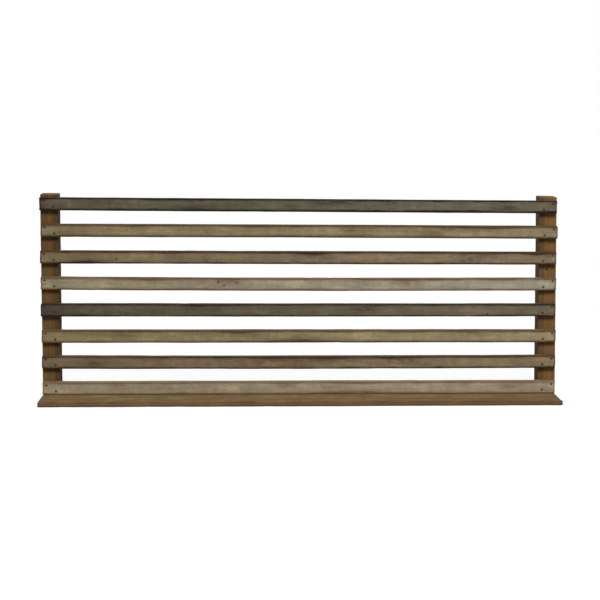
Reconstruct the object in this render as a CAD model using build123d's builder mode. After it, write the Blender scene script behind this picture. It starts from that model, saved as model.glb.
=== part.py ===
from build123d import *
import os

# A free-standing slatted rack of reclaimed timber: eight level slats nailed across the
# front of two posts, which stand on a base board that lies flat.
# Millimetres. The origin is the centre of the base board's underside, +Z is up,
# +X runs along the slats and the nailed front faces -Y.

# Base board
base_length = 1570
base_depth = 184
base_thickness = 15
base_arris = 2.5

# Slats, numbered from the top down
slat_count = 8
slat_length = base_length
slat_height = 38
slat_thickness = 15
slat_pitch = 80
slat_arris = 3
slat_end_arris = 1
slat_setback = 67  # from the base board's front edge to the slats' front faces
lowest_slat_lift = 1  # the open line between the base board and the lowest slat

# Posts
post_width = 52
post_depth = 38
post_top = 621
post_arris = 2
right_post_rise = 3  # the right post's top is sawn out of square, and rises this far inwards

# Nails
shank_radius = 1.4
head_radius = 3
head_thickness = 1.2
head_bevel = 0.3
head_sink = 0.4  # how far a head is driven below the wood's face
point_length = 5
slat_nail_length = 45
base_nail_length = 60
nail_ease = 0.05  # between a nail and the wood round it
tip_ease = 2  # the length left open past a nail's point
outer_nail_inset = 12  # from the slat's end
inner_nail_inset = 41
nail_edge_margin = 10  # from the slat's upper or lower edge
base_nail_spacing = 16

# An old nail hole, left open in the front of the right post
old_hole_radius = 1.5
old_hole_depth = 20
old_hole_inset = 28  # from the post's outer side
old_hole_height = 398

# Derived places
slat_front = slat_setback - base_depth / 2
post_front = slat_front + slat_thickness
post_outer = slat_length / 2
post_inner = post_outer - post_width
post_centre_x = (post_outer + post_inner) / 2
post_centre_y = post_front + post_depth / 2
lowest_slat_bottom = base_thickness + lowest_slat_lift
slat_bottoms = [lowest_slat_bottom + slat_pitch * row for row in reversed(range(slat_count))]


def facing_front(x, y, z):
    """A plane at a point of a front face, with its normal out of the wood, towards -Y."""
    return Plane(origin=(x, y, z), x_dir=(1, 0, 0), z_dir=(0, -1, 0))


def facing_down(x, y, z):
    """A plane at a point of an underside, with its normal out of the wood, towards -Z."""
    return Plane(origin=(x, y, z), x_dir=(1, 0, 0), z_dir=(0, 0, -1))


def nail_spots(bottom, side):
    """Where the two nails at one end of a slat go: side is -1 at the left and 1 at the right."""
    outer = (side * (slat_length / 2 - outer_nail_inset), bottom + slat_height - nail_edge_margin)
    inner = (side * (slat_length / 2 - inner_nail_inset), bottom + nail_edge_margin)
    return [outer, inner]


def base_nail_spots(side):
    """Where the two nails that come up through the base board into one post go."""
    half = base_nail_spacing / 2
    return [(side * post_centre_x + step, post_centre_y) for step in (-half, half)]


def post_outline(side):
    """The corners of a post seen from the front, as (x, z): its foot, then over its top."""
    inner_top = post_top + right_post_rise if side > 0 else post_top
    return [
        (side * post_inner, base_thickness),
        (side * post_outer, base_thickness),
        (side * post_outer, post_top),
        (side * post_inner, inner_top),
    ]


def finish(piece, name):
    """Labels a finished piece and writes it."""
    piece.part.label = name
    export_step(piece.part, f"parts/{name}.step")


def make_base():
    """The base board, with holes for the nails that come up through it into the posts."""
    with BuildPart() as board:
        with BuildSketch(Plane.YZ.offset(-base_length / 2)):
            with Locations((0, base_thickness / 2)):
                Rectangle(base_depth, base_thickness)
        extrude(amount=base_length)
        fillet(board.edges().filter_by(Axis.X), radius=base_arris)
        heads = [facing_down(x, y, 0) for side in (-1, 1) for x, y in base_nail_spots(side)]
        with Locations(*heads):
            CounterBoreHole(
                radius=shank_radius + nail_ease,
                counter_bore_radius=head_radius + nail_ease,
                counter_bore_depth=head_sink + head_thickness,
                depth=base_thickness,
            )
    return board


def make_post(side):
    """A post with a blind hole for each nail that reaches it, from the front and from below."""
    reach = slat_nail_length + head_sink - slat_thickness + tip_ease
    foot_reach = base_nail_length + head_sink - base_thickness + tip_ease
    front_spots = [spot for bottom in slat_bottoms for spot in nail_spots(bottom, side)]
    with BuildPart() as post:
        with BuildSketch(Plane.XZ.offset(-post_front)):
            with BuildLine():
                Polyline(*post_outline(side), close=True)
            make_face()
        extrude(amount=-post_depth)
        fillet(post.edges().filter_by(Axis.Z), radius=post_arris)
        with Locations(*[facing_front(x, post_front, z) for x, z in front_spots]):
            Hole(radius=shank_radius + nail_ease, depth=reach)
        with Locations(*[facing_down(x, y, base_thickness) for x, y in base_nail_spots(side)]):
            Hole(radius=shank_radius + nail_ease, depth=foot_reach)
        if side > 0:
            with Locations(facing_front(post_outer - old_hole_inset, post_front, old_hole_height)):
                Hole(radius=old_hole_radius, depth=old_hole_depth)
    return post


def make_slat(bottom):
    """A slat with its long arrises worn round, and two nail holes at each end."""
    spots = nail_spots(bottom, -1) + nail_spots(bottom, 1)
    with BuildPart() as slat:
        with BuildSketch(Plane.YZ.offset(-slat_length / 2)):
            with Locations((slat_front + slat_thickness / 2, bottom + slat_height / 2)):
                Rectangle(slat_thickness, slat_height)
        extrude(amount=slat_length)
        fillet(slat.edges().filter_by(Axis.X), radius=slat_arris)
        chamfer(slat.faces().filter_by(Axis.X).edges(), length=slat_end_arris)
        with Locations(*[facing_front(x, slat_front, z) for x, z in spots]):
            CounterBoreHole(
                radius=shank_radius + nail_ease,
                counter_bore_radius=head_radius + nail_ease,
                counter_bore_depth=head_sink + head_thickness,
                depth=slat_thickness,
            )
    return slat


def make_nail(length):
    """A round wire nail on the Z axis: the top of its head is at the origin, its point is at -length."""
    with BuildPart() as nail:
        with BuildSketch(Plane.XZ):
            with BuildLine():
                Polyline(
                    (0, 0),
                    (head_radius - head_bevel, 0),
                    (head_radius, -head_bevel),
                    (head_radius, -head_thickness),
                    (shank_radius, -head_thickness),
                    (shank_radius, point_length - length),
                    (0, -length),
                    close=True,
                )
            make_face()
        revolve(axis=Axis.Z)
    return nail


def make_nails(nail, planes):
    """Copies of one nail, each with its head just below the face that its plane lies on."""
    with BuildPart() as nails:
        with Locations(*[plane.offset(-head_sink) for plane in planes]):
            add(nail.part)
    return nails


os.makedirs("parts", exist_ok=True)

finish(make_base(), "base_board")

base_nail = make_nail(base_nail_length)
for hand, side in (("left", -1), ("right", 1)):
    finish(make_post(side), f"post_{hand}")
    undersides = [facing_down(x, y, 0) for x, y in base_nail_spots(side)]
    finish(make_nails(base_nail, undersides), f"base_nails_{hand}")

slat_nail = make_nail(slat_nail_length)
for number, bottom in enumerate(slat_bottoms, start=1):
    finish(make_slat(bottom), f"slat_{number}")
    ends = nail_spots(bottom, -1) + nail_spots(bottom, 1)
    fronts = [facing_front(x, slat_front, z) for x, z in ends]
    finish(make_nails(slat_nail, fronts), f"slat_{number}_nails")
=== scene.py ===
"""Looks for a free-standing slatted rack of reclaimed timber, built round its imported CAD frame.

Every board is one closed mesh that stands for its CAD node: a finely divided box whose arrises are worn
round unevenly, with raised grain, knots, drying cracks and a dimple at each nail. Every nail is a mesh too.
Metres throughout, in the CAD's own frame: +X along the slats, the nailed front towards -Y, +Z up.
"""
import math

import bpy
import numpy as np
from mathutils import Euler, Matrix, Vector


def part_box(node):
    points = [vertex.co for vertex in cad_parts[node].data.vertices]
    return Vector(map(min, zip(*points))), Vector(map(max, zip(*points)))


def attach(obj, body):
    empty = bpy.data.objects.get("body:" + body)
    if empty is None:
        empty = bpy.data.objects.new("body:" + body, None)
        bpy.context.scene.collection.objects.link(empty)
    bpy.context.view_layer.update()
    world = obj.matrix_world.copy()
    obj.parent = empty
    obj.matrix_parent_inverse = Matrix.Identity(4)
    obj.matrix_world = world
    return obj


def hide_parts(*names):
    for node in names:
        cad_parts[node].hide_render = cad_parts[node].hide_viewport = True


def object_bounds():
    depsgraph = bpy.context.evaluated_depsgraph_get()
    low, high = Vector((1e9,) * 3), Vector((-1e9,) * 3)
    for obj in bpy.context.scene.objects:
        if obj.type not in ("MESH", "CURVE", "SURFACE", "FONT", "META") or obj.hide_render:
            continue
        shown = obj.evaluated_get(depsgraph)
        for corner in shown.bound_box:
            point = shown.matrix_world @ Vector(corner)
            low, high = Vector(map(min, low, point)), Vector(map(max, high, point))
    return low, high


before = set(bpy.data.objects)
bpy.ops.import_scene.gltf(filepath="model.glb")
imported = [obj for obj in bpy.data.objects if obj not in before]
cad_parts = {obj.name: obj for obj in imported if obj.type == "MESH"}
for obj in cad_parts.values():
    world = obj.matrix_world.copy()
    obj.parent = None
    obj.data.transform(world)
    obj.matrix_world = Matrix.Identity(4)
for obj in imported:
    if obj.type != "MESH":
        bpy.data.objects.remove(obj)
cad_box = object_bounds()

MM = 0.001
FLAT = 1e-9
SEED = 4127
RIGHTWARD, BACKWARD, UPWARD = np.eye(3)
FRONTWARD = -BACKWARD

# --------------------------------------------------------------------------------------
# Seeded random shapes
# --------------------------------------------------------------------------------------


def ease(t):
    """A smooth step from 0 to 1."""
    t = np.clip(t, 0.0, 1.0)
    return t * t * (3.0 - 2.0 * t)


def hump(distance, reach):
    """A smooth bump: 1 in its middle, and almost 0 beyond twice its reach."""
    return np.exp(-((distance / reach) ** 2))


def wander(rng, at, spacing, size):
    """A smooth random curve over the positions at, which turns about once every spacing."""
    cells = (at - at.min()) / spacing
    low = np.floor(cells).astype(int)
    turns = rng.uniform(-1.0, 1.0, low.max() + 2)
    return size * (turns[low] + (turns[low + 1] - turns[low]) * ease(cells - low))


def mottle(rng, a, b, spacing_a, spacing_b, size):
    """Smooth random relief over two coordinates, with its own spacing along each."""
    cell_a = (a - a.min()) / spacing_a
    cell_b = (b - b.min()) / spacing_b
    low_a = np.floor(cell_a).astype(int)
    low_b = np.floor(cell_b).astype(int)
    heights = rng.uniform(-1.0, 1.0, (low_a.max() + 2, low_b.max() + 2))
    along = ease(cell_a - low_a)
    across = ease(cell_b - low_b)
    near = heights[low_a, low_b] * (1 - along) + heights[low_a + 1, low_b] * along
    far = heights[low_a, low_b + 1] * (1 - along) + heights[low_a + 1, low_b + 1] * along
    return size * (near * (1 - across) + far * across)


def stations(length, step, close_places=(), close_step=1.0 * MM, close_reach=6 * MM):
    """Positions from end to end of a length: evenly spaced, but closer together round some places."""
    half = length / 2
    spots = np.linspace(-half, half, max(4, round(length / step)) + 1)
    for place in close_places:
        start = max(place - close_reach, -half)
        stop = min(place + close_reach, half)
        fine = np.linspace(start, stop, round((stop - start) / close_step) + 1)
        outside = (spots < start - close_step / 2) | (spots > stop + close_step / 2)
        spots = np.concatenate([spots[outside], fine])
    spots = np.sort(np.append(spots, (-half, half)))
    return spots[np.append(True, np.diff(spots) > close_step / 4)]


# --------------------------------------------------------------------------------------
# Boards. In a board's own coordinates u runs along the grain, v across its face and
# w out of its face, each from the board's centre.
# --------------------------------------------------------------------------------------

SLOW_WEAR, SLOW_WEAR_SHARE = 70 * MM, 0.35  # a spacing along the arris, and a depth as a share of it
QUICK_WEAR, QUICK_WEAR_SHARE = 17 * MM, 0.16
CHIP_REACH = (4, 22)  # the least and the most, in millimetres
CHIP_SHARE = (0.4, 1.0)
SHARPEST_ARRIS = 0.8 * MM
ROUNDEST_ARRIS = 0.46  # as a share of the board's thickness
KNOT_LENGTH = 1.25  # how much longer than wide a knot is
KNOT_PUSH = 0.9  # how far a knot pushes the grain aside, and how far along and across, in knot sizes
KNOT_PUSH_ALONG, KNOT_PUSH_ACROSS = 3.2, 2.0
LONG_GRAIN = (0.110, 3.4 * MM)  # relief's spacing along the grain and across it
SHORT_GRAIN = (0.045, 7.0 * MM)
SHORT_GRAIN_SHARE = 0.8
HOLLOWS = (0.150, 22 * MM)
CLOSE_ROW = 0.5 * MM  # between the rows of points round an old hole
CLOSE_ROW_REACH = 3 * MM
RIM_CORNER = 14 * MM  # how round a dark rim's inner outline is at a board's corners
END_NARROWING = 1.6  # a rim is this many times narrower along an end than along an arris
KNOT_RISE = 2.2  # how far a knot stands up, against the grain's relief
END_RELIEF = 0.35  # how much of the relief an end keeps
DENT_SPREAD = 1.1  # a dent's own radius, as a share of the radius of what made it
DENT_EDGE = 1.9  # where the wood is level again, in dent radii
SMEAR_LENGTH = 2.4  # how much longer than wide an iron stain is
SKEW_REACH = 12 * MM  # how far in from an end a skewed saw cut moves the points
SAWN_FADE = 1.6 * MM  # how quickly the look of a sawn end gives way to that of the face
LOW_FROM = 0.25  # where a narrow face's low part starts, as a share of the way from the middle to the face
BAND_FADE = 1.5 * MM


def box_skin(us, vs, ws):
    """The outer points and quads of a box that is divided at the given positions."""
    inner = np.zeros((len(us), len(vs), len(ws)), bool)
    inner[1:-1, 1:-1, 1:-1] = True
    number = np.cumsum(~inner.ravel()).reshape(inner.shape) - 1
    points = np.stack(np.meshgrid(us, vs, ws, indexing="ij"), -1)[~inner]
    sides = []
    for axis in range(3):
        for end in (0, -1):
            sheet = number.take(end, axis)
            quads = np.stack([sheet[:-1, :-1], sheet[1:, :-1], sheet[1:, 1:], sheet[:-1, 1:]], -1)
            quads = quads.reshape(-1, 4)
            sides.append(quads[:, ::-1] if (end == 0) != (axis == 1) else quads)
    return points, np.concatenate(sides)


def worn_radius(rng, u, v, w, look):
    """How far each point's nearest long arris is worn round: it wanders, and deepens at chips."""
    radius = np.full(len(u), look["arris"])
    for v_side in (-1, 1):
        for w_side in (-1, 1):
            here = (v * v_side >= 0) & (w * w_side >= 0)
            curve = wander(rng, u, SLOW_WEAR, look["arris"] * SLOW_WEAR_SHARE)
            curve += wander(rng, u, QUICK_WEAR, look["arris"] * QUICK_WEAR_SHARE)
            for _ in range(look["chips"]):
                place = rng.uniform(u.min(), u.max())
                reach = rng.uniform(*CHIP_REACH) * MM
                curve += rng.uniform(*CHIP_SHARE) * look["chip_depth"] * hump(u - place, reach)
            radius = np.where(here, radius + curve, radius)
    return np.clip(radius, SHARPEST_ARRIS, look["size"][2] * ROUNDEST_ARRIS)


def knot_pull(u, v, knots):
    """How far the grain is pushed aside by the knots, and how much of each point is knot."""
    push = np.zeros(len(u))
    share = np.zeros(len(u))
    for place, height, size in knots:
        along, across = u - place, v - height
        away = np.hypot(along / KNOT_LENGTH, across) / size
        share = np.maximum(share, np.exp(-(away**4)))
        fading = hump(along, size * KNOT_PUSH_ALONG) * np.exp(-np.abs(across) / (size * KNOT_PUSH_ACROSS))
        push += np.sign(across) * size * KNOT_PUSH * fading
    return push, share


def inward_distance(u, v, w, half, stains):
    """The distance in from a face's rounded outline, taken as less where old stain has crept in."""
    from_arris = np.maximum(half[1] - np.abs(v), half[2] - np.abs(w))
    from_end = (half[0] - np.abs(u)) * END_NARROWING
    end_part = np.maximum(RIM_CORNER - from_end, 0)
    arris_part = np.maximum(RIM_CORNER - from_arris, 0)
    inwards = RIM_CORNER - np.hypot(end_part, arris_part)
    for place, side, reach, depth in stains:
        inwards -= np.where(v * side > 0, depth * hump(u - place, reach), 0.0)
    return inwards


def rounded_box(points, half, radius, end_radius):
    """The points moved in onto the worn arrises, and the way out of the board at each."""
    radii = np.stack([np.full(len(points), end_radius), radius, radius], 1)
    core = np.clip(points, radii - half, half - radii)
    out = (points - core) / radii
    out /= np.linalg.norm(out, axis=1, keepdims=True)
    return core + out * radii, out


def grain_relief(rng, u, across, push, look):
    """Raised grain, which bends round the knots, over broad hollows left by sawing and wear."""
    relief = mottle(rng, u, across + push, *LONG_GRAIN, look["grain"])
    relief += mottle(rng, u, across + push, *SHORT_GRAIN, look["grain"] * SHORT_GRAIN_SHARE)
    relief += mottle(rng, u, across, *HOLLOWS, look["hollow"])
    return relief


def crack_share(u, v, rows, cracked_faces, half, cracks):
    """How much of each point is crack: a crack runs in from an end along one row of points."""
    crack = np.zeros(len(u))
    for end_side, share, reach in cracks:
        row = rows[round((0.5 + share) * (len(rows) - 1))]
        on_row = (np.abs(v - row) < FLAT) & cracked_faces
        opening = ease(1 - (half[0] - u * end_side) / reach)
        crack = np.maximum(crack, np.where(on_row, opening, 0.0))
    return crack


def dents_and_stains(u, v, w, on_face, dents):
    """How deep the dents round nail heads and holes are, and how much of each point is iron stain."""
    sunk = np.zeros(len(u))
    stain = np.zeros(len(u))
    for place, height, radius, depth in dents:
        away = np.hypot(u - place, v - height) / (radius * DENT_SPREAD)
        smear = np.hypot((u - place) / SMEAR_LENGTH, v - height)
        sunk += np.where(on_face, depth * ease(DENT_EDGE - away), 0.0)
        spot = np.exp(-(away**4)) + 0.3 * hump(smear, radius * 1.6)
        stain = np.maximum(stain, np.where(w > 0, spot, 0.0))
    return sunk, stain


def smudge_share(u, v, on_back, smudges):
    """How much of each point is smudge, on every side but the back."""
    smudge = np.zeros(len(u))
    for place, height, reach, depth in smudges:
        here = hump(u - place, reach) * hump(v - height, depth)
        smudge = np.maximum(smudge, np.where(on_back, 0.0, here))
    return smudge


def saw_and_bend(rng, shaped, u, v, half, look):
    """Sawn ends, a little out of square, then the board's own lean and bow."""
    near_end = ease(1 - (half[0] - np.abs(u)) / SKEW_REACH) * np.sign(u)
    skew = wander(rng, v, look["size"][1] / 3, look["end_skew"]) - look["end_skew"]
    shaped[:, 0] += near_end * skew
    fall_width, fall = look["far_end_fall"]
    from_outer = half[1] - v * look["outer_side"]
    shaped[:, 0] -= np.maximum(near_end, 0) * fall * np.maximum(1 - from_outer / fall_width, 0)
    swing = 1 - (u / half[0]) ** 2
    shaped[:, 1] += look["lean"] * (u + half[0]) - look["sag"] * swing
    shaped[:, 2] += look["bow"] * swing


def pith_place(rng):
    """Where the middle of the growth rings lies, from the board's centre."""
    turn = rng.uniform(0, 2 * math.pi)
    away = rng.uniform(30, 70) * MM
    return np.array([rng.uniform(-20, 20), away * math.cos(turn), away * math.sin(turn)])


def shape_board(rng, look):
    """A board's points and quads in its own coordinates, and the marks that its material reads."""
    length, height, thickness = look["size"]
    half = np.array(look["size"]) / 2
    columns = stations(length, look["step"], [dent[0] for dent in look["dents"]])
    rows = stations(height, look["step_v"], look["fine_v"], CLOSE_ROW, CLOSE_ROW_REACH)
    points, quads = box_skin(columns, rows, stations(thickness, look["step_w"]))
    u, v, w = points.T
    on_face = w > half[2] - FLAT
    on_back = w < FLAT - half[2]
    on_end = np.abs(u) > half[0] - FLAT
    on_side = (np.abs(v) > half[1] - FLAT) & ~on_face & ~on_back

    shaped, out = rounded_box(points, half, worn_radius(rng, u, v, w, look), look["end_arris"])
    push, knot = knot_pull(u, v, look["knots"])
    relief = grain_relief(rng, u, v + w, push, look) + knot * look["grain"] * KNOT_RISE
    relief = np.where(on_end, END_RELIEF * relief, relief)
    crack = crack_share(u, v, rows, (on_face | on_end) & (w > 0), half, look["cracks"])
    sunk, stain = dents_and_stains(u, v, w, on_face, look["dents"])
    relief -= crack * look["crack_depth"] + sunk
    shaped += out * relief[:, None]
    saw_and_bend(rng, shaped, u, v, half, look)

    from_inner = half[1] + v * look["outer_side"]
    marks = {
        "edge": inward_distance(u, v, w, half, look["stains"]),
        "side": np.where(on_side, 1.0, 0.0),
        "low": np.where(on_side, ease(LOW_FROM - w / half[2]), 0.0),
        "sawn_end": np.exp((np.abs(u) - half[0]) / SAWN_FADE),
        "knot": knot,
        "stain": np.maximum(stain, crack),
        "smudge": smudge_share(u, v, on_back, look["smudges"]),
        "run": 0.5 + u / half[0] / 2,
        "band": ease((look["inner_band"] - from_inner) / BAND_FADE),
    }
    return shaped, quads, np.stack([u, v + push, w], 1) + pith_place(rng), marks


def place_at(centre, along, across, outwards, tilt=0.0):
    """A board's place: its centre and the directions of u, v and w, turned by a tilt in its own face."""
    tilted_along = along * math.cos(tilt) + across * math.sin(tilt)
    tilted_across = across * math.cos(tilt) - along * math.sin(tilt)
    return np.array(centre), np.stack([tilted_along, tilted_across, outwards])


def add_piece(name, node, verts, faces):
    """A smooth-shaded mesh object that stands for a CAD node."""
    mesh = bpy.data.meshes.new(name)
    mesh.from_pydata(verts, [], faces)
    mesh.shade_smooth()
    piece = bpy.data.objects.new(name, mesh)
    bpy.context.scene.collection.objects.link(piece)
    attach(piece, "root")
    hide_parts(node)
    return piece


def add_board(name, node, look, place, seed):
    """Builds one board and writes the marks that its material reads onto its mesh."""
    shaped, quads, grain, marks = shape_board(np.random.default_rng(SEED + seed), look)
    centre, turn = place
    if np.linalg.det(turn) < 0:
        quads = quads[:, ::-1]
    piece = add_piece(name, node, (shaped @ turn + centre).tolist(), quads.tolist())
    layers = piece.data.attributes
    directions = layers.new("grain", "FLOAT_VECTOR", "POINT").data
    directions.foreach_set("vector", grain.astype(np.float32).ravel())
    for mark, values in marks.items():
        layers.new(mark, "FLOAT", "POINT").data.foreach_set("value", values.astype(np.float32))
    return piece


# --------------------------------------------------------------------------------------
# Nails
# --------------------------------------------------------------------------------------

NAIL_HEAD = 3 * MM
NAIL_SHANK = 1.4 * MM
NAIL_POINT = 5 * MM
NAIL_SPOKES = 24
NAIL_TILT = 0.05  # radians
HEAD_RINGS = 6  # how many of the profile's rings are worn out of round, and how many are dented
TOP_RINGS = 3
HEAD_WEAR = (-0.05, 0.02)  # as a share of the radius
TOP_DENTS = (-0.07, 0.05)  # in millimetres


def nail_profile(length):
    """A hammered wire nail's outline as (radius, height): the top of its head is at height 0."""
    return [
        (NAIL_HEAD * 0.35, 0.10 * MM),
        (NAIL_HEAD * 0.68, 0.03 * MM),
        (NAIL_HEAD * 0.90, -0.12 * MM),
        (NAIL_HEAD * 1.00, -0.42 * MM),
        (NAIL_HEAD * 0.99, -0.85 * MM),
        (NAIL_HEAD * 0.86, -1.15 * MM),
        (NAIL_SHANK * 1.12, -1.55 * MM),
        (NAIL_SHANK, -2.4 * MM),
        (NAIL_SHANK, -length * 0.5),
        (NAIL_SHANK, NAIL_POINT - length),
        (NAIL_SHANK * 0.3, 0.8 * MM - length),
    ]


def turned_nail(rng, length, turn, head):
    """One nail's points and faces: a closed turned shape whose head is dented and worn out of round."""
    spokes = NAIL_SPOKES
    angles = np.arange(spokes) * 2 * math.pi / spokes
    profile = nail_profile(length)
    points = [(0, 0, 0.12 * MM)]
    for ring, (radius, height) in enumerate(profile):
        worn = radius * (1 + rng.uniform(*HEAD_WEAR, spokes) * (ring < HEAD_RINGS))
        dented = height + rng.uniform(*TOP_DENTS, spokes) * MM * (ring < TOP_RINGS)
        points.extend(zip(worn * np.cos(angles), worn * np.sin(angles), dented))
    tip = len(points)
    points.append((0, 0, -length))
    faces = []
    for spoke in range(spokes):
        beside = (spoke + 1) % spokes
        faces.append((0, 1 + spoke, 1 + beside))
        for ring in range(len(profile) - 1):
            low = 1 + ring * spokes
            faces.append((low + spoke, low + spokes + spoke, low + spokes + beside, low + beside))
        last = tip - spokes
        faces.append((tip, last + beside, last + spoke))
    return np.array(points) @ turn.T + head, faces


def add_nails(name, node, heads, length, outwards, seed):
    """All the nails of one node as one mesh, each driven a little out of true."""
    rng = np.random.default_rng(SEED + seed)
    facing = Vector(outwards).to_track_quat("Z", "Y").to_matrix()
    verts, faces = [], []
    for head in heads:
        lean = (rng.normal(0, NAIL_TILT), rng.normal(0, NAIL_TILT), rng.uniform(0, 2 * math.pi))
        tilt = Euler(lean).to_matrix()
        points, rings = turned_nail(rng, length, np.array(facing @ tilt), head)
        faces.extend(tuple(len(verts) + corner for corner in ring) for ring in rings)
        verts.extend(points.tolist())
    return add_piece(name, node, verts, faces)


# --------------------------------------------------------------------------------------
# Materials
# --------------------------------------------------------------------------------------


def paint(red, green, blue):
    """A display colour, 0 to 255, as linear light."""
    display = np.array((red, green, blue)) / 255.0
    linear = np.where(display <= 0.04045, display / 12.92, ((display + 0.055) / 1.055) ** 2.4)
    return (*linear.tolist(), 1.0)


def scaled(tone, amount):
    """A display colour made lighter or darker."""
    return tuple(channel * amount for channel in tone)


class Shader:
    """A short way to write one material's node tree."""

    def __init__(self, name):
        self.material = bpy.data.materials.new(name)
        self.material.use_nodes = True
        self.tree = self.material.node_tree
        self.bsdf = self.tree.nodes["Principled BSDF"]

    def node(self, kind, **settings):
        made = self.tree.nodes.new(kind)
        for key, value in settings.items():
            setattr(made, key, value)
        return made

    def feed(self, socket, value):
        """Links a socket, or sets it to a plain value."""
        if isinstance(value, bpy.types.NodeSocket):
            self.tree.links.new(value, socket)
        else:
            socket.default_value = value

    def mark(self, name):
        return self.node("ShaderNodeAttribute", attribute_name=name).outputs["Fac"]

    def direction(self, name):
        return self.node("ShaderNodeAttribute", attribute_name=name).outputs["Vector"]

    def stretch(self, vector, scale):
        made = self.node("ShaderNodeVectorMath", operation="MULTIPLY")
        self.feed(made.inputs[0], vector)
        made.inputs[1].default_value = scale
        return made.outputs[0]

    def noise(self, vector, detail=3.0, roughness=0.5, warp=0.0):
        made = self.node("ShaderNodeTexNoise")
        self.feed(made.inputs["Vector"], vector)
        made.inputs["Scale"].default_value = 1.0
        made.inputs["Detail"].default_value = detail
        made.inputs["Roughness"].default_value = roughness
        made.inputs["Distortion"].default_value = warp
        return made.outputs["Fac"]

    def rings(self, vector, scale, warp):
        """Growth rings round the X axis."""
        made = self.node("ShaderNodeTexWave", wave_type="RINGS", rings_direction="X")
        self.feed(made.inputs["Vector"], vector)
        made.inputs["Scale"].default_value = scale
        made.inputs["Distortion"].default_value = warp
        made.inputs["Detail"].default_value = 2.0
        made.inputs["Detail Scale"].default_value = 0.6
        return made.outputs["Fac"]

    def maths(self, operation, a, b=0.0, clamp=False):
        made = self.node("ShaderNodeMath", operation=operation, use_clamp=clamp)
        self.feed(made.inputs[0], a)
        self.feed(made.inputs[1], b)
        return made.outputs[0]

    def between(self, value, low, high, to_low=0.0, to_high=1.0):
        made = self.node("ShaderNodeMapRange", interpolation_type="SMOOTHSTEP")
        self.feed(made.inputs["Value"], value)
        for key, number in (("From Min", low), ("From Max", high), ("To Min", to_low), ("To Max", to_high)):
            made.inputs[key].default_value = number
        return made.outputs["Result"]

    def mix(self, share, a, b):
        """Mixes two colours, which are the mix node's inputs 6 and 7 and its output 2."""
        made = self.node("ShaderNodeMix", data_type="RGBA")
        self.feed(made.inputs[0], share)
        self.feed(made.inputs[6], a)
        self.feed(made.inputs[7], b)
        return made.outputs[2]

    def shade(self, colour, amount):
        """Multiplies a colour by a grey amount."""
        made = self.node("ShaderNodeVectorMath", operation="SCALE")
        self.feed(made.inputs[0], colour)
        self.feed(made.inputs["Scale"], amount)
        return made.outputs[0]

    def bump(self, height, strength, distance):
        made = self.node("ShaderNodeBump")
        made.inputs["Strength"].default_value = strength
        made.inputs["Distance"].default_value = distance
        self.feed(made.inputs["Height"], height)
        self.feed(self.bsdf.inputs["Normal"], made.outputs["Normal"])


# Noise in the timber: cells in a metre along the grain and across it, then detail, roughness and warp.
FIGURE = {
    "streaks": (5, 260, 5.0, 0.62, 0.15),
    "lines": (16, 1150, 3.0, 0.60, 0.0),
    "blotches": (9, 34, 4.0, 0.55, 0.4),
    "bands": (34, 14, 4.0, 0.65, 0.0),
    "ragged": (42, 150, 4.0, 0.60, 0.0),
    "drift": (13, 22, 2.0, 0.50, 0.0),
    "speckle": (130, 210, 3.0, 0.65, 0.0),
}
RING_DRIFT = 0.03  # how fast the rings change along the grain, against across it
RING_SCALE = 80
RING_WARP = 3.5
RIM_WAVER = 3.5 * MM  # how far a rim's inner edge is moved by the ragged noise, and by the slow one
RIM_DRIFT = 9 * MM
RIM_SETBACK = (RIM_WAVER + RIM_DRIFT) / 2  # since the noises lie round a half
FADE_FROM, FADE_TO = 1 * MM, 13 * MM  # from an arris: the faint warm fade that a rim stands in


def wood_figure(s, grain):
    """The patterns that one timber's colour and relief are mixed from."""
    figure = {"rings": s.rings(s.stretch(grain, (RING_DRIFT, 1, 1)), RING_SCALE, RING_WARP)}
    for name, (along, across, detail, roughness, warp) in FIGURE.items():
        figure[name] = s.noise(s.stretch(grain, (along, across, across)), detail, roughness, warp)
    return figure


def bare_wood(s, figure, tones, marks):
    """Bare wood, lighter and duller in blotches, with its rings, speckle and streaks over that."""
    left, right = tones["face"]
    blotches, blotch = figure["blotches"], marks["blotch"]
    run = s.between(s.mark("run"), 0.0, 1.0)
    colour = s.mix(run, paint(*left), paint(*right))
    light = s.mix(run, paint(*scaled(left, 1.15)), paint(*scaled(right, 1.12)))
    dull = s.mix(run, paint(*scaled(left, 0.83)), paint(*scaled(right, 0.85)))
    colour = s.mix(s.between(blotches, 0.50, 0.68, 0.0, blotch), colour, light)
    colour = s.mix(s.between(blotches, 0.30, 0.46, blotch * 0.7, 0.0), colour, dull)
    if "band" in tones:
        colour = s.mix(s.maths("MULTIPLY", s.mark("band"), marks["band"]), colour, paint(*tones["band"]))
    tea = s.between(figure["drift"], 0.48, 0.70, 0.0, marks["tea"])
    colour = s.mix(tea, colour, paint(*tones["rim"][1]))
    colour = s.shade(colour, s.between(figure["rings"], 0.15, 0.95, 1.02, 1 - marks["rings"]))
    speckle, bands, streak = marks["speckle"], marks["bands"], marks["streak"]
    colour = s.shade(colour, s.between(figure["speckle"], 0.30, 0.70, 1 - speckle, 1 + speckle))
    colour = s.shade(colour, s.between(figure["bands"], 0.32, 0.68, 1 - bands, 1 + bands * 0.8))
    colour = s.shade(colour, s.between(figure["streaks"], 0.28, 0.72, 1 - streak, 1 + streak))
    return s.shade(colour, s.between(figure["lines"], 0.32, 0.60, 1 - marks["line"], 1.03))


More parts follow.
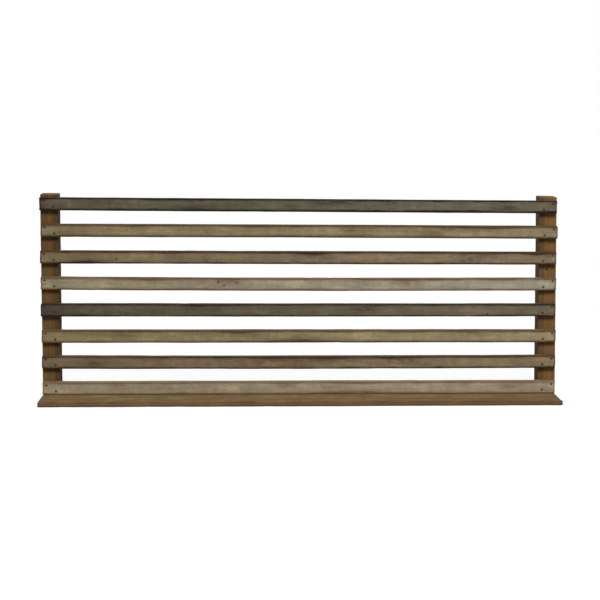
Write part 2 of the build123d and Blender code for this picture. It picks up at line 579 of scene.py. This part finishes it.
def knots_and_smudges(s, colour, figure, tones):
    """Dark knots and smudges, ragged at their edges."""
    ragged = figure["ragged"]
    smudge = s.maths("MULTIPLY", s.mark("smudge"), s.between(ragged, 0.25, 0.60), clamp=True)
    colour = s.mix(s.maths("MULTIPLY", smudge, 0.75), colour, paint(*tones["smudge"]))
    knot = s.maths("ADD", s.mark("knot"), s.maths("MULTIPLY", ragged, 0.9))
    return s.mix(s.between(knot, 0.75, 1.45, 0.0, 0.6), colour, paint(*tones["knot"]))


def dark_arrises(s, colour, figure, tones, marks):
    """Painted shade or light on the narrow faces, and arrises dark with old stain.
    Also gives how much of a point is rim.
    """
    cold, warm = tones["rim"]
    ragged = figure["ragged"]
    side = s.between(s.mark("side"), 0.0, 1.0)
    # Painted shade: the narrow faces' tone is scaled by the side factor (on the left post it is painted
    # light).
    colour = s.shade(colour, s.between(side, 0.0, 1.0, 1.0, marks["side"]))
    fade = s.between(s.mark("edge"), FADE_FROM, FADE_TO, marks["fade"], 0.0)
    colour = s.mix(fade, colour, paint(*warm))
    waver = s.maths("MULTIPLY", ragged, RIM_WAVER)
    waver = s.maths("ADD", waver, s.maths("MULTIPLY", figure["drift"], RIM_DRIFT))
    inwards = s.maths("SUBTRACT", s.maths("ADD", s.mark("edge"), waver), RIM_SETBACK)
    rim = s.between(inwards, *marks["rim_reach"], marks["rim"], 0.0)
    rim = s.maths("MULTIPLY", rim, s.between(side, 0.0, 1.0, 1.0, marks["side_rim"]))
    rim_tone = s.mix(s.between(figure["blotches"], 0.42, 0.58), paint(*cold), paint(*warm))
    colour = s.mix(rim, colour, rim_tone)
    low = s.maths("MULTIPLY", s.mark("low"), s.between(ragged, 0.25, 0.60, 0.6, 1.0))
    colour = s.mix(s.maths("MULTIPLY", low, marks["low"]), colour, paint(*scaled(warm, 0.85)))
    return colour, rim


def ends_and_iron(s, colour, figure, tones):
    """Sawn ends of their own tone, and wood darkened by iron round the nails and in cracks."""
    ragged = figure["ragged"]
    sawn = s.maths("ADD", s.mark("sawn_end"), s.maths("MULTIPLY", ragged, 0.3))
    colour = s.mix(s.between(sawn, 0.50, 1.05, 0.0, 0.85), colour, paint(*tones["end"]))
    iron = s.maths("ADD", s.mark("stain"), s.maths("MULTIPLY", ragged, 0.25))
    dark = paint(*scaled(tones["face"][0], 0.44))
    return s.mix(s.between(iron, 0.30, 1.05, 0.0, 0.75), colour, dark)


def timber(name, tones, marks):
    """Weathered timber: bare wood, knots and smudges, dark arrises, then ends and iron stain."""
    s = Shader(name)
    figure = wood_figure(s, s.direction("grain"))
    colour = bare_wood(s, figure, tones, marks)
    colour = knots_and_smudges(s, colour, figure, tones)
    colour, rim = dark_arrises(s, colour, figure, tones, marks)
    s.feed(s.bsdf.inputs["Base Color"], ends_and_iron(s, colour, figure, tones))

    rough = s.between(figure["streaks"], 0.3, 0.7, 0.96, 0.82)
    rough = s.maths("ADD", rough, s.maths("MULTIPLY", rim, -0.12), clamp=True)
    s.feed(s.bsdf.inputs["Roughness"], rough)
    s.bsdf.inputs["Specular IOR Level"].default_value = 0.2
    height = s.maths("MULTIPLY", figure["streaks"], 0.6)
    height = s.maths("ADD", height, s.maths("MULTIPLY", figure["lines"], 0.3))
    height = s.maths("ADD", height, s.maths("MULTIPLY", figure["rings"], 0.15))
    s.bump(height, 0.55, 0.6 * MM)
    return s.material


def rusted_iron():
    """Old nail iron: near black, with brown rust in patches."""
    s = Shader("rusted_iron")
    where = s.node("ShaderNodeTexCoord").outputs["Object"]
    rust = s.noise(s.stretch(where, (700, 700, 700)), 4.0, 0.6)
    pits = s.noise(s.stretch(where, (2600, 2600, 2600)), 2.0, 0.5)
    colour = s.mix(s.between(rust, 0.40, 0.62), paint(52, 43, 35), paint(90, 61, 41))
    s.feed(s.bsdf.inputs["Base Color"], s.shade(colour, s.between(pits, 0.3, 0.7, 0.75, 1.1)))
    s.feed(s.bsdf.inputs["Roughness"], s.between(rust, 0.35, 0.65, 0.6, 0.9))
    s.bsdf.inputs["Metallic"].default_value = 0.3
    s.bump(pits, 0.6, 0.15 * MM)
    return s.material


# --------------------------------------------------------------------------------------
# The object. The real rack isn't quite true: it leans a little towards its left, and each
# slat sits and bows in its own way. In all, no board's outline moves from the CAD by more than
# 8 mm along any axis.
# --------------------------------------------------------------------------------------

LEAN = -0.0108  # how far the rack goes along X for each metre up
RIGHT_POST_LEAN = 1.34 * LEAN
SLAT_SWELL = 0.8 * MM

PLAIN_BOARD = {
    "step": 4.5 * MM,
    "step_v": 1.05 * MM,
    "step_w": 1.5 * MM,
    "fine_v": (),
    "arris": 2.2 * MM,
    "end_arris": 1.2 * MM,
    "chips": 5,
    "chip_depth": 2.2 * MM,
    "crack_depth": 1.1 * MM,
    "grain": 0.16 * MM,
    "hollow": 0.25 * MM,
    "end_skew": 0.5 * MM,
    "far_end_fall": (1 * MM, 0.0),  # the far end falls away over this width, by this much at its edge,
    "outer_side": 1,  # towards the side of the board that this sign gives
    "lean": 0.0,
    "sag": 0.0,
    "bow": 0.0,
    "knots": (),
    "cracks": (),
    "dents": (),
    "smudges": (),
    "stains": (),
    "inner_band": 0.0,
}

# One entry for each slat, from the top down. Tones are display colours: a face's at its left and right
# ends, and a rim's where the stain is cold and where it is warm. Places along and across a slat are shares
# of its length and height from its middle, and every other number is in millimetres:
#   knots are (along, across, size); gouges are (along, across, radius);
#   smudges are (along, reach as a share of the length, across);
#   stains deepen the rim at (along, upper or lower edge, reach as a share of the length, depth), and
#     thin it where the depth is negative;
#   cracks are (which end, across, reach).
# Each slat's tones also hold painted light: darker on the upper slats and lighter on the lower ones, to
# even out the key light's fall from the top slat to the bottom one.
SLATS = {
    1: {
        "face": ((88, 80, 63), (100, 93, 74)), "rim": ((14, 10, 8), (22, 15, 11)),
        "knot": (57, 45, 34), "end": (32, 27, 24), "smudge": (50, 37, 30),
        "rim_share": 0.95, "fade": 0.3,
        "shift": -1.2, "lift": 0.0, "tilt": -1.5, "sag": 0.0, "bow": 0.8,
        "knots": ((-0.36, 0.15, 3), (0.13, -0.2, 2.4)),
        "smudges": (
            (-0.02, 0.012, -0.12), (-0.20, 0.05, -0.3), (0.06, 0.05, 0.3), (0.40, 0.03, -0.1),
            (-0.5, 0.02, 0.3), (-0.5, 0.015, -0.2),
        ),
        "stains": (
            (0.31, -1, 0.05, 2.6), (-0.22, 1, 0.06, 1.6), (-0.5, 1, 0.011, 2), (-0.5, -1, 0.011, 1.5),
            (0.48, -1, 0.02, 2), (0.0, -1, 0.6, 1.4), (0.0, 1, 0.6, -0.9), (0.46, 1, 0.06, -1.0),
        ),
        "cracks": ((1, 0.22, 55), (-1, -0.3, 30)),
    },
    2: {
        "face": ((122, 108, 81), (136, 122, 94)), "rim": ((61, 42, 22), (74, 50, 26)),
        "knot": (87, 62, 40), "end": (92, 75, 57), "smudge": (87, 70, 48),
        "rim_share": 0.85, "fade": 0.55,
        "shift": 1.8, "lift": 1.0, "tilt": 0.4, "sag": -0.6, "bow": -0.7,
        "knots": ((-0.27, -0.1, 2.4), (0.29, 0.25, 3)),
        "smudges": ((0.29, 0.06, 0.3), (0.25, 0.025, -0.1), (0.09, 0.02, 0.2), (-0.45, 0.03, -0.3)),
        "stains": (
            (-0.32, 1, 0.03, 2.0), (0.36, 1, 0.06, 4.0), (0.10, -1, 0.03, 2.0), (-0.07, 1, 0.05, 2.0),
        ),
        "cracks": ((-1, 0.28, 40), (1, -0.05, 65)),
    },
    3: {
        "face": ((113, 98, 73), (122, 106, 83)), "rim": ((41, 25, 14), (58, 33, 18)),
        "knot": (96, 56, 34), "end": (70, 52, 38), "smudge": (72, 57, 45),
        "rim_share": 0.92, "fade": 0.4,
        "shift": -1.1, "lift": 0.8, "tilt": 0.6, "sag": 0.2, "bow": 0.5,
        "knots": ((-0.355, -0.08, 6), (-0.265, 0.33, 4), (0.22, -0.1, 2.4)),
        "smudges": (
            (0.02, 0.03, 0.36), (0.33, 0.025, -0.15), (0.34, 0.05, 0.3), (-0.4, 0.03, -0.4),
            (0.475, 0.02, 0.4),
        ),
        "stains": (
            (0.02, 1, 0.035, 4.5), (-0.41, -1, 0.025, 4.0), (-0.25, 1, 0.02, 2.5), (0.46, 1, 0.02, 4.0),
        ),
        "cracks": ((1, 0.1, 45),),
    },
    4: {
        "face": ((136, 125, 102), (150, 142, 123)), "rim": ((80, 59, 34), (95, 69, 39)),
        "knot": (102, 74, 50), "end": (102, 85, 65), "smudge": (104, 88, 66),
        "rim_share": 0.80, "fade": 0.5,
        "shift": -0.5, "lift": 1.1, "tilt": 0.0, "sag": 2.4, "bow": -0.4,
        "knots": ((-0.295, 0.34, 4), (-0.125, 0.12, 7), (0.36, -0.15, 2.4)),
        "gouges": ((-0.161, 0.16, 2.8), (-0.150, -0.12, 2.3)),
        "smudges": ((-0.295, 0.03, 0.38), (-0.15, 0.02, 0.1), (0.21, 0.03, 0.2)),
        "stains": ((-0.29, 1, 0.03, 3.0), (-0.2, -1, 0.05, 2.4), (0.2, 1, 0.05, 1.6)),
        "cracks": ((-1, -0.12, 50), (1, 0.3, 30)),
    },
    5: {
        "face": ((83, 76, 59), (104, 94, 74)), "rim": ((27, 18, 11), (38, 25, 16)),
        "knot": (52, 39, 29), "end": (38, 32, 27), "smudge": (58, 49, 43),
        "rim_share": 0.93, "fade": 0.2,
        "shift": -1.3, "lift": 0.0, "tilt": 1.0, "sag": 0.3, "bow": 0.6,
        "knots": ((0.364, -0.26, 4.5), (0.14, 0.0, 3), (-0.1, 0.1, 2.4)),
        "smudges": ((-0.48, 0.05, 0.1), (-0.48, 0.05, -0.2), (-0.2, 0.03, 0.2), (0.12, 0.03, 0.1)),
        "stains": ((-0.18, 1, 0.04, 2.0), (-0.43, -1, 0.03, 2.0)),
        "cracks": ((-1, 0.18, 60), (1, -0.25, 35)),
    },
    6: {
        "face": ((128, 114, 83), (144, 129, 101)), "rim": ((71, 50, 24), (86, 60, 29)),
        "knot": (98, 69, 43), "end": (86, 67, 47), "smudge": (92, 74, 50),
        "rim_share": 0.86, "fade": 0.55,
        "shift": 0.4, "lift": -0.8, "tilt": 0.4, "sag": 0.2, "bow": -0.8,
        "knots": ((-0.055, 0.0, 2.6), (0.25, 0.2, 2.4)),
        "smudges": ((-0.12, 0.03, 0.3), (0.0, 0.05, -0.3), (-0.35, 0.03, 0.1), (0.33, 0.03, 0.25)),
        "stains": ((0.0, -1, 0.06, 4.0), (-0.12, 1, 0.03, 3.0), (0.2, 1, 0.06, 1.6)),
        "cracks": ((1, 0.05, 55), (-1, 0.33, 30)),
    },
    7: {
        "face": ((110, 95, 72), (127, 111, 85)), "rim": ((44, 27, 14), (62, 35, 19)),
        "knot": (74, 50, 34), "end": (67, 51, 37), "smudge": (69, 58, 45),
        "rim_share": 0.92, "fade": 0.4,
        "shift": 0.0, "lift": 0.0, "tilt": -0.4, "sag": 1.8, "bow": 0.4,
        "knots": ((-0.40, 0.05, 4), (0.17, 0.15, 2.4), (0.31, -0.2, 2.6)),
        "smudges": ((0.03, 0.13, 0.32), (-0.08, 0.015, 0.0), (-0.4, 0.02, -0.1), (0.2, 0.03, 0.2)),
        "stains": ((-0.06, 1, 0.03, 3.5), (0.04, 1, 0.04, 3.0), (0.18, 1, 0.03, 3.0)),
        "cracks": ((-1, 0.0, 45), (1, 0.28, 50)),
    },
    8: {
        "face": ((145, 132, 108), (155, 142, 119)), "rim": ((94, 71, 46), (105, 77, 49)),
        "knot": (112, 82, 56), "end": (120, 99, 73), "smudge": (118, 97, 71),
        "rim_share": 0.70, "fade": 0.3,
        "shift": 0.2, "lift": 0.0, "tilt": 0.0, "sag": -0.4, "bow": 0.3,
        "knots": ((-0.12, 0.12, 2.2), (0.27, 0.05, 2.4)),
        "smudges": ((-0.35, 0.02, 0.2), (0.10, 0.06, -0.4), (-0.03, 0.02, 0.2), (0.40, 0.03, 0.1)),
        "stains": ((0.10, -1, 0.07, 3.0), (0.1, 1, 0.05, 3.0), (-0.3, 1, 0.04, 1.6)),
        "cracks": ((1, -0.18, 50), (-1, 0.2, 35)),
    },
}

# The posts, in the same terms. A post is taller by stretch and wider by swell than its CAD solid. Its face
# is duller over band_wide along its inner side, its narrow sides are made lighter or darker by a factor of
# painted light or shade, and its top falls away by top_fall towards its outer side.
POSTS = {
    "left": {
        "side": -1, "shift": -1.2, "stretch": 3.0, "swell": 0.0, "lean": LEAN,
        "face": ((96, 71, 38), (87, 64, 32)), "rim": ((78, 58, 33), (88, 63, 36)),
        "knot": (58, 38, 22), "end": (104, 84, 58), "smudge": (112, 76, 46), "band": (76, 55, 29),
        "band_wide": 15, "top_fall": 0, "painted_side_light": 1.4,
        "smudges": ((0.35, 0.2, 0.0), (0.0, 0.15, -0.15)),
        "knots": ((-0.3, -0.17, 3.5),),
    },
    "right": {
        "side": 1, "shift": 2.9, "stretch": 1.0, "swell": 2.7, "lean": RIGHT_POST_LEAN,
        "face": ((109, 80, 45), (114, 82, 45)), "rim": ((82, 60, 35), (96, 68, 40)),
        "knot": (62, 40, 23), "end": (110, 88, 60), "smudge": (70, 50, 29), "band": (90, 67, 37),
        "band_wide": 18, "top_fall": 1.2, "painted_side_light": 0.75,
        "smudges": ((0.17, 0.05, -0.04), (0.3, 0.1, -0.45)),
        "knots": ((0.2, 0.3, 3.0),),
    },
}

BASE_TONES = {
    "face": ((117, 99, 69), (116, 94, 65)), "rim": ((80, 54, 28), (102, 66, 35)),
    "knot": (92, 58, 36), "end": (84, 58, 36), "smudge": (122, 78, 50),
}
BASE_KNOTS = ((-0.33, -0.40, 5), (0.12, -0.33, 6), (0.36, 0.3, 11), (-0.1, 0.25, 10))
BASE_SMUDGES = (-0.44, -0.18, 0.0, 0.22, 0.4)
BASE_SPLAY = 3 * MM

# How strongly each kind of timber shows its figure and stains. rim_reach is where a rim starts to fade and
# where it ends, side multiplies the narrow faces' tone as painted shade (on the posts, painted light or
# shade), side_rim is how much of the rim they keep, and low is how far the rim's warm tone covers their
# part away from the face.
PLAIN_MARKS = {"tea": 0.0, "side_rim": 0.5, "low": 0.0}
SLAT_MARKS = PLAIN_MARKS | {
    "blotch": 0.85, "bands": 0.12, "tea": 0.14, "rings": 0.04, "speckle": 0.09, "streak": 0.06,
    "line": 0.08, "side": 0.7, "rim_reach": (2.4 * MM, 7.5 * MM),
}
POST_MARKS = PLAIN_MARKS | {
    "blotch": 0.45, "bands": 0.05, "rings": 0.08, "speckle": 0.05, "streak": 0.14, "line": 0.10,
    "band": 0.85, "fade": 0.12, "rim": 0.15, "rim_reach": (0.5 * MM, 2.5 * MM),
}
BASE_MARKS = PLAIN_MARKS | {
    "blotch": 0.8, "bands": 0.07, "tea": 0.18, "rings": 0.08, "speckle": 0.09, "streak": 0.12,
    "line": 0.10, "side": 0.8, "side_rim": 1.0, "low": 0.85, "fade": 0.2, "rim": 0.8,
    "rim_reach": (0.5 * MM, 4 * MM),
}

HEAD_SINK = 0.4 * MM
SLAT_NAIL = 45 * MM
BASE_NAIL = 60 * MM
OUTER_INSET, INNER_INSET, EDGE_MARGIN = 12 * MM, 41 * MM, 10 * MM
BASE_NAIL_STEP = 8 * MM
NAIL_DENT = 1.35 * MM
GOUGE_DEPTH = 1.0 * MM
OLD_HOLE_INSET, OLD_HOLE_HEIGHT = 28 * MM, 398 * MM
OLD_HOLE_RADIUS, OLD_HOLE_DEPTH = 1.5 * MM, 6 * MM
SLAT_SMUDGE_HEIGHT = 0.3  # how far a smudge reaches across a slat, as a share of its height
POST_SMUDGE_WIDTH = 0.12  # and across a post, as a share of its width
BASE_SMUDGE_LINE = -0.36  # across the base board, as a share of its depth
POST_CRACK_LINE = 0.1  # outwards from a post's middle, as a share of its width
SLAT_NAIL_SEED, FOOT_NAIL_SEED = 500, 530
POST_SEED, BASE_SEED = 20, 40


def box_of(node):
    """A CAD node's centre and size."""
    low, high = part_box(node)
    return np.array((low + high) / 2), np.array(high - low)


def dress(piece, material):
    piece.data.materials.append(material)


def in_place(spots, size):
    """Turns (along, across, size in mm), with places in shares of a board's size, into metres."""
    return [(along * size[0], across * size[1], extent * MM) for along, across, extent in spots]


def slat_nail_spots(length, height):
    """Where a slat's nails go in the slat's own coordinates: two near each end, on a slant."""
    across = height / 2 - EDGE_MARGIN
    spots = []
    for side in (-1, 1):
        spots.append((side * (length / 2 - OUTER_INSET), across))
        spots.append((side * (length / 2 - INNER_INSET), -across))
    return spots


def make_slat(number, own, iron):
    node = f"slat_{number}"
    centre, (length, thickness, height) = box_of(node)
    size = (length, height + SLAT_SWELL, thickness)
    spots = slat_nail_spots(length, height)
    gouges = [(u, v, radius, GOUGE_DEPTH) for u, v, radius in in_place(own.get("gouges", ()), size)]
    look = PLAIN_BOARD | {
        "size": size,
        "sag": own["sag"] * MM,
        "bow": own["bow"] * MM,
        "knots": in_place(own["knots"], size),
        "dents": [(u, v, NAIL_HEAD, NAIL_DENT) for u, v in spots] + gouges,
        "smudges": [
            (u * length, v * height, reach * length, SLAT_SMUDGE_HEIGHT * height)
            for u, reach, v in own["smudges"]
        ],
        "stains": [
            (u * length, side, reach * length, depth * MM)
            for u, side, reach, depth in own["stains"]
        ],
        "cracks": [(side, share, reach * MM) for side, share, reach in own["cracks"]],
    }
    settled = centre + np.array((own["shift"] * MM + LEAN * centre[2], 0, own["lift"] * MM))
    place = place_at(settled, RIGHTWARD, UPWARD, FRONTWARD, own["tilt"] * MM / length)
    piece = add_board(f"timber_slat_{number}", node, look, place, number)
    marks = SLAT_MARKS | {"rim": own["rim_share"], "fade": own["fade"]}
    dress(piece, timber(f"weathered_slat_{number}", own, marks))

    face = thickness / 2 - HEAD_SINK
    heads = [np.array((u, v, face)) @ place[1] + place[0] for u, v in spots]
    seed = SLAT_NAIL_SEED + number
    driven = add_nails(f"iron_nails_{number}", f"{node}_nails", heads, SLAT_NAIL, FRONTWARD, seed)
    dress(driven, iron)


def make_post(hand, own, iron):
    node = f"post_{hand}"
    side = own["side"]
    centre, (width, depth, height) = box_of(node)
    size = (height + own["stretch"] * MM, width + own["swell"] * MM, depth)
    hole_across = width / 2 - OLD_HOLE_INSET
    hole = (OLD_HOLE_HEIGHT - centre[2], hole_across, OLD_HOLE_RADIUS, OLD_HOLE_DEPTH)
    look = PLAIN_BOARD | {
        "size": size,
        "step": 3 * MM,
        "step_v": 1.3 * MM,
        "step_w": 1.9 * MM,
        "fine_v": [hole_across] if side > 0 else [],
        "arris": 2.0 * MM,
        "chips": 4,
        "chip_depth": 1.2 * MM,
        "end_skew": 0.2 * MM,
        "grain": 0.20 * MM,
        "crack_depth": 1.3 * MM,
        "lean": own["lean"],
        "far_end_fall": (width, own["top_fall"] * MM),
        "outer_side": side,
        "knots": in_place(own["knots"], size),
        "cracks": [(1, POST_CRACK_LINE * side, 45 * MM)],
        "dents": [hole] if side > 0 else [],
        "smudges": [
            (u * height, v * width, reach * height, POST_SMUDGE_WIDTH * width)
            for u, reach, v in own["smudges"]
        ],
        "inner_band": own["band_wide"] * MM,
    }
    settled = centre + np.array((own["shift"] * MM, 0, own["stretch"] * MM / 2))
    place = place_at(settled, UPWARD, RIGHTWARD, FRONTWARD)
    piece = add_board(f"timber_post_{hand}", node, look, place, POST_SEED + side)
    # The side factor paints light (left post) or shade (right post) onto the narrow faces.
    wood = timber(f"weathered_post_{hand}", own, POST_MARKS | {"side": own["painted_side_light"]})
    dress(piece, wood)

    steps = (-BASE_NAIL_STEP, BASE_NAIL_STEP)
    heads = [np.array((centre[0] + step, centre[1], HEAD_SINK)) for step in steps]
    seed = FOOT_NAIL_SEED + side
    driven = add_nails(f"iron_foot_nails_{hand}", f"base_nails_{hand}", heads, BASE_NAIL, -UPWARD, seed)
    dress(driven, iron)


def make_base():
    centre, size = box_of("base_board")
    look = PLAIN_BOARD | {
        "size": size,
        "step": 5 * MM,
        "step_v": 2.4 * MM,
        "arris": 2.4 * MM,
        "chips": 9,
        "grain": 0.22 * MM,
        "far_end_fall": (12 * MM, -BASE_SPLAY),
        "outer_side": -1,
        "knots": in_place(BASE_KNOTS, size),
        "cracks": [(1, 0.12, 90 * MM), (-1, -0.2, 60 * MM)],
        "smudges": [(u * size[0], BASE_SMUDGE_LINE * size[1], 60 * MM, 14 * MM) for u in BASE_SMUDGES],
    }
    place = place_at(centre, RIGHTWARD, BACKWARD, UPWARD)
    foot = add_board("timber_base_board", "base_board", look, place, BASE_SEED)
    dress(foot, timber("weathered_base_board", BASE_TONES, BASE_MARKS))


# --------------------------------------------------------------------------------------
# Floor, light and camera
# --------------------------------------------------------------------------------------

FLOOR_HALF = 14.0
FLOOR_FADE = (0.9, 3.0)  # how far from the rack the floor starts to fade, and where it is white
FLOOR_BOUNCE = (0.35, 0.35, 0.35, 1)  # what the rack's light sees of the floor
FLOOR_TONE = (0.12, 0.12, 0.12, 1)  # what the camera sees, over a glow that keeps shadows pale
FLOOR_GLOW = 0.9
SHIFT_HOLDS_WITHIN = 0.001


def plain_floor():
    """A wide pale floor, level with the underside of the base board, that fades to white far away."""
    half = FLOOR_HALF
    corners = [(-half, -half, 0), (half, -half, 0), (half, half, 0), (-half, half, 0)]
    mesh = bpy.data.meshes.new("studio_floor")
    mesh.from_pydata(corners, [], [(0, 1, 2, 3)])
    floor = bpy.data.objects.new("studio_floor", mesh)
    bpy.context.scene.collection.objects.link(floor)
    s = Shader("pale_floor")
    seen = s.node("ShaderNodeLightPath").outputs["Is Camera Ray"]
    away = s.node("ShaderNodeVectorMath", operation="LENGTH")
    s.feed(away.inputs[0], s.node("ShaderNodeTexCoord").outputs["Object"])
    far = s.between(away.outputs["Value"], *FLOOR_FADE)
    lit = s.mix(far, FLOOR_TONE, (0, 0, 0, 1))
    s.feed(s.bsdf.inputs["Base Color"], s.mix(seen, FLOOR_BOUNCE, lit))
    s.bsdf.inputs["Emission Color"].default_value = (1, 1, 1, 1)
    glow = s.between(far, 0.0, 1.0, FLOOR_GLOW, 1.0)
    s.feed(s.bsdf.inputs["Emission Strength"], s.maths("MULTIPLY", seen, glow))
    s.bsdf.inputs["Roughness"].default_value = 1.0
    s.bsdf.inputs["Specular IOR Level"].default_value = 0.0
    mesh.materials.append(s.material)


def soft_lamp(name, place, aim, width, power):
    """A square soft box that faces a point, and that the camera doesn't see."""
    data = bpy.data.lights.new(name, "AREA")
    data.size = width
    data.energy = power
    lamp = bpy.data.objects.new(name, data)
    lamp.visible_camera = False
    lamp.location = place
    lamp.rotation_euler = (aim - Vector(place)).to_track_quat("-Z", "Y").to_euler()
    bpy.context.scene.collection.objects.link(lamp)


def pale_world(seen, lit):
    """A white surround: as bright as seen to the camera, and as lit for the light that it gives."""
    world = bpy.data.worlds.new("studio_surround")
    bpy.context.scene.world = world
    world.use_nodes = True
    tree = world.node_tree
    surround = tree.nodes["Background"]
    surround.inputs["Color"].default_value = (1, 1, 1, 1)
    path = tree.nodes.new("ShaderNodeLightPath")
    level = tree.nodes.new("ShaderNodeMapRange")
    level.inputs["To Min"].default_value = lit
    level.inputs["To Max"].default_value = seen
    tree.links.new(path.outputs["Is Camera Ray"], level.inputs["Value"])
    tree.links.new(level.outputs["Result"], surround.inputs["Strength"])


def camera_at(place, yaw, pitch, roll, focal, shift):
    """The camera, with a lens shift that holds only while it stands here."""
    data = bpy.data.cameras.new("camera")
    data.lens = focal
    camera = bpy.data.objects.new("camera", data)
    camera.location = place
    turn = Euler((math.radians(90 - pitch), 0, math.radians(yaw))).to_matrix()
    camera.rotation_euler = (turn @ Euler((0, 0, math.radians(roll))).to_matrix()).to_euler()
    bpy.context.scene.collection.objects.link(camera)
    bpy.context.scene.camera = camera
    for axis, amount in zip(("shift_x", "shift_y"), shift):
        driver = data.driver_add(axis).driver
        where = driver.variables.new()
        where.name = "x"
        where.targets[0].id = camera
        where.targets[0].data_path = "location.x"
        driver.expression = f"{amount} if abs(x - {place[0]}) < {SHIFT_HOLDS_WITHIN} else 0"


nail_iron = rusted_iron()
for slat_number, slat in SLATS.items():
    make_slat(slat_number, slat, nail_iron)
for post_hand, post in POSTS.items():
    make_post(post_hand, post, nail_iron)
make_base()

plain_floor()
pale_world(seen=1.0, lit=0.19)
middle = (cad_box[0] + cad_box[1]) / 2
soft_lamp("key_light", place=(0.3, -5.3, 6.0), aim=middle, width=2.4, power=690)
soft_lamp("back_light", place=(-0.6, 3.6, 1.4), aim=middle, width=2.4, power=95)
camera_at(
    place=(-0.1464, -2.7714, 0.9184),
    yaw=-2.491,
    pitch=3.024,
    roll=0.606,
    focal=54.82,
    shift=(0.0074, -0.2554),
)
bpy.context.scene.view_settings.view_transform = "Standard"
